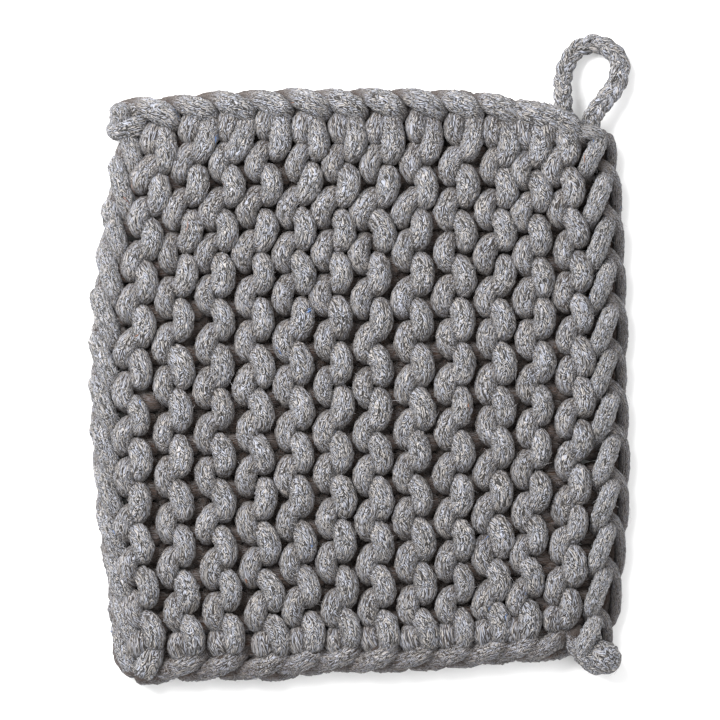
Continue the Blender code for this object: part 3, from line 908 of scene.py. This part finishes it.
class PotHolderBindOff(bpy.types.Operator):
    """Chain the bind-off edge down the right side, and fasten it with the knob at its foot"""

    bl_idname = "pot_holder.bind_off"
    bl_label = "Bind-Off Edge"

    def execute(self, context):
        knit = context.scene.pot_holder_knit
        rng = np.random.default_rng(knit.seed + 70)
        link_y, link_x = LINK_Y[::-1], LINK_X[::-1]
        under = []
        # The cord under the chain, in full painted shade.
        for y in np.arange(LINK_Y[0], LINK_Y[-1], -LINK_PITCH / CHAIN_UNDER_STEPS):
            wave = math.cos(2 * math.pi * (LINK_TOP - y) / LINK_PITCH)
            under.append((
                float(np.interp(y, link_y, link_x)) + CHAIN_UNDER * MM,
                y,
                (CHAIN_UNDER_HEIGHT + CHAIN_UNDER_RISE * wave) * MM,
                (CHAIN_UNDER_RADIUS + CHAIN_UNDER_SWELL * wave) * MM,
                CHAIN_UNDER_SHADE,
            ))
        chain = [under]
        for i in range(LINKS):
            y = LINK_TOP - i * LINK_PITCH
            x = float(np.interp(y, link_y, link_x))
            stretch = {0: FIRST_LINK, LINKS - 1: LAST_LINK}.get(i, 1.0)
            stops = LINK if i else LINK[:-2]    # the first link's rear leg ends under the loop's collar
            chain.append(varied(placed(stops, x, y, stretch), rng, knit.unevenness))
        chain += [placed(stops) for stops in (LAST_SHADE, LAST_KNOB, KNOB_BACK)]
        cords = [strand(stops, knit.ring_gap) for stops in chain]
        stand_for_pad(cord_piece("bind_off_chain", cords, cotton_cord(), knit.seed + 71))
        return {"FINISHED"}


def bare_points(pieces):
    """The points of some pieces with little painted shade, where the cord isn't tucked away, and which way
    each of them faces.
    """
    places, normals = [], []
    for piece in pieces:
        vertices = piece.data.vertices
        place, normal = np.empty((2, len(vertices) * 3), np.float32)
        tuck = np.empty(len(vertices), np.float32)
        vertices.foreach_get("co", place)
        vertices.foreach_get("normal", normal)
        piece.data.attributes[PAINTED_SHADE_NAME].data.foreach_get("value", tuck)
        places.append(place.reshape(-1, 3)[tuck < FIBRE_MAX_SHADE])
        normals.append(normal.reshape(-1, 3)[tuck < FIBRE_MAX_SHADE])
    return np.concatenate(places), np.concatenate(normals)


def fibres(name, pieces, count, seed):
    """Loose fibres that stand off the cords of some pieces, as thin hairs in one mesh."""
    rng = np.random.default_rng(seed)
    roots, outward = bare_points(pieces)
    chosen = rng.choice(len(roots), count, replace=False)
    roots, outward = roots[chosen], outward[chosen]
    way = unit(np.cross(outward, rng.normal(0, 1, (count, 3))))
    side = np.cross(outward, way)
    length = rng.uniform(*FIBRE_LENGTH, (count, 1, 1)) * MM
    lift = rng.uniform(*FIBRE_LIFT, (count, 1, 1)) * MM
    curl = rng.normal(0, FIBRE_CURL, (count, 1, 1))
    t = np.linspace(0, 1, FIBRE_RINGS)[None, :, None]
    middles = (roots[:, None] + way[:, None] * length * t + side[:, None] * length * curl * t * t
               + outward[:, None] * (lift * 4 * t * (1 - t) - length * FIBRE_DROOP * t * t))
    sides = FIBRE_SIDES
    turn = np.arange(sides) * 2 * math.pi / sides
    cross = np.cos(turn)[:, None] * outward[:, None] + np.sin(turn)[:, None] * side[:, None]
    points = (middles[:, :, None] + cross[:, None] * FIBRE_RADIUS * MM).reshape(-1, 3)
    points[:, 2] = np.clip(points[:, 2], 0.0, PAD_HIGH[2])
    faces = []
    for first in range(0, len(points), FIBRE_RINGS * sides):
        last = first + (FIBRE_RINGS - 1) * sides
        faces += [range(first, first + sides)[::-1], range(last, last + sides)]
        for ring in range(first, last, sides):
            for j in range(sides):
                k = (j + 1) % sides
                faces.append((ring + j, ring + k, ring + sides + k, ring + sides + j))
    return new_piece(name, points, faces, loose_fibre())


class PotHolderFibres(bpy.types.Operator):
    """Let loose fibres stand off the cords of the pad"""

    bl_idname = "pot_holder.fibres"
    bl_label = "Loose Fibres"

    def execute(self, context):
        pieces = [piece for piece in context.scene.objects if piece.type == "MESH"
                  and PAINTED_SHADE_NAME in piece.data.attributes and piece.name != LOOP_NAME]
        if not pieces:
            raise RuntimeError("the cords are made before their fibres")
        seed = context.scene.pot_holder_knit.seed + 90
        stand_for_pad(fibres("loose_fibres", pieces, FIBRES, seed))
        return {"FINISHED"}


def plait(route, gap):
    """Three cords plaited flat along a route of (x, y, z, width)."""
    fine = spaced(np.array(route, float), PLAIT_STEP)
    once = soften(fine, PLAIT_STEP, PLAIT_EASE)
    line = spaced(2 * once - soften(once, PLAIT_STEP, PLAIT_EASE), gap)    # so that bends aren't cut short
    points, width = line[:, :3], line[:, 3]
    along = unit(np.gradient(points, axis=0))
    side = unit(np.cross(along, (0.0, 0.0, 1.0)))
    over = np.cross(side, along)
    reach = runs_to(points)
    radii = width * PLAIT_RADIUS
    cords = []
    for number in range(3):
        phase = 2 * math.pi * (reach / PLAIT_PERIOD + number / 3)
        swing = PLAIT_SPREAD * (width / 2 - radii) * np.sin(phase)
        lift = PLAIT_DEPTH * np.sin(2 * phase)
        middles = points + side * swing[:, None] + over * lift[:, None]
        cords.append(Strand(middles, radii, np.zeros(len(middles)), CORD_ROUND_MM / 2))
    return points, cords


class PotHolderLoop(bpy.types.Operator):
    """Plait the hanging loop at the top right corner, with the collar round its right leg"""

    bl_idname = "pot_holder.loop"
    bl_label = "Hanging Loop"

    def execute(self, context):
        knit = context.scene.pot_holder_knit
        route, cords = plait(LOOP_ROUTE, knit.ring_gap * PLAIT_RING_GAP)
        loop = cord_piece(LOOP_NAME, cords, cotton_cord(), knit.seed + 80)
        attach(loop, BODY)
        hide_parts("hanging_loop")
        collar = strand(placed(LOOP_COLLAR), knit.ring_gap)
        stand_for_pad(cord_piece("loop_collar", [collar], cotton_cord(), knit.seed + 81))
        return {"FINISHED"}


# Stage -------

FLOOR_WIDTH, FLOOR_GAP = 4.0, 0.0002
# The camera stands straight above, so far off that the pad shows no sides, and takes in VIEW_WIDTH there.
VIEW_PLACE, VIEW_WIDTH, CAMERA_DISTANCE = Vector((-0.0002, -0.0008, 0.015)), 0.2758, 6.0
# The soft boxes' names, places, widths and watts, and the strength of the white light from all sides.
LAMPS = (("key", (-0.62, 0.62, 0.85), 0.8, 43.0), ("fill", (0.7, -0.3, 1.1), 1.2, 8.0))
DAYLIGHT = 0.84


def soft_light(name, place, size, watts):
    """A square soft box that faces the pad."""
    data = bpy.data.lights.new(name, "AREA")
    data.size = size
    data.energy = watts
    light = bpy.data.objects.new(name, data)
    light.location = place
    light.rotation_euler = (-Vector(place)).to_track_quat("-Z", "Y").to_euler()
    bpy.context.scene.collection.objects.link(light)


class PotHolderStage(bpy.types.Operator):
    """Make the floor, the soft lights and the camera straight above"""

    bl_idname = "pot_holder.stage"
    bl_label = "Stage"

    def execute(self, context):
        scene = context.scene
        bpy.ops.object.select_all(action="DESELECT")
        bpy.ops.mesh.primitive_plane_add(size=FLOOR_WIDTH, location=(0, 0, -FLOOR_GAP))
        floor = context.active_object
        floor.name = "floor"
        paper = bpy.data.materials.new("white_paper_matt")
        paper.use_nodes = True
        shader = paper.node_tree.nodes["Principled BSDF"]
        shader.inputs["Base Color"].default_value = linear("#f4f4f4")
        shader.inputs["Roughness"].default_value = 1.0
        floor.data.materials.append(paper)
        for lamp in LAMPS:
            soft_light(*lamp)
        world = bpy.data.worlds.new("studio")
        world.use_nodes = True
        sky = world.node_tree.nodes["Background"]
        sky.inputs["Color"].default_value = linear("#ffffff")
        sky.inputs["Strength"].default_value = DAYLIGHT
        scene.world = world
        scene.view_settings.view_transform = "Standard"
        lens = bpy.data.cameras.new("camera")
        lens.sensor_width = 36.0
        lens.lens = lens.sensor_width * CAMERA_DISTANCE / VIEW_WIDTH
        camera = bpy.data.objects.new("camera", lens)
        camera.location = VIEW_PLACE + Vector((0.0, 0.0, CAMERA_DISTANCE))
        scene.collection.objects.link(camera)
        scene.camera = camera
        return {"FINISHED"}


class PotHolderPanel(bpy.types.Panel):
    """Sizes, colours and pieces of the pot holder"""

    bl_idname = "VIEW3D_PT_pot_holder"
    bl_label = "Pot Holder"
    bl_space_type = "VIEW_3D"
    bl_region_type = "UI"
    bl_category = "Pot Holder"

    def draw(self, context):
        for group in (context.scene.pot_holder_knit, context.scene.pot_holder_colours):
            for name in group.__annotations__:
                self.layout.prop(group, name)
        for operator in OPERATORS:
            self.layout.operator(operator.bl_idname)


OPERATORS = (
    PotHolderStage,
    PotHolderLoop,
    PotHolderRidges,
    PotHolderEnds,
    PotHolderCastOn,
    PotHolderBindOff,
    PotHolderFibres,
)
CLASSES = (PotHolderKnit, PotHolderColours, *OPERATORS, PotHolderPanel)


def register():
    for one in CLASSES:
        bpy.utils.register_class(one)
    bpy.types.Scene.pot_holder_knit = PointerProperty(type=PotHolderKnit)
    bpy.types.Scene.pot_holder_colours = PointerProperty(type=PotHolderColours)


def unregister():
    del bpy.types.Scene.pot_holder_colours
    del bpy.types.Scene.pot_holder_knit
    for one in reversed(CLASSES):
        bpy.utils.unregister_class(one)


def main():
    register()
    bpy.ops.object.select_all(action="DESELECT")
    for operator in OPERATORS:
        group, name = operator.bl_idname.split(".")
        getattr(getattr(bpy.ops, group), name)()


if __name__ == "__main__":
    main()
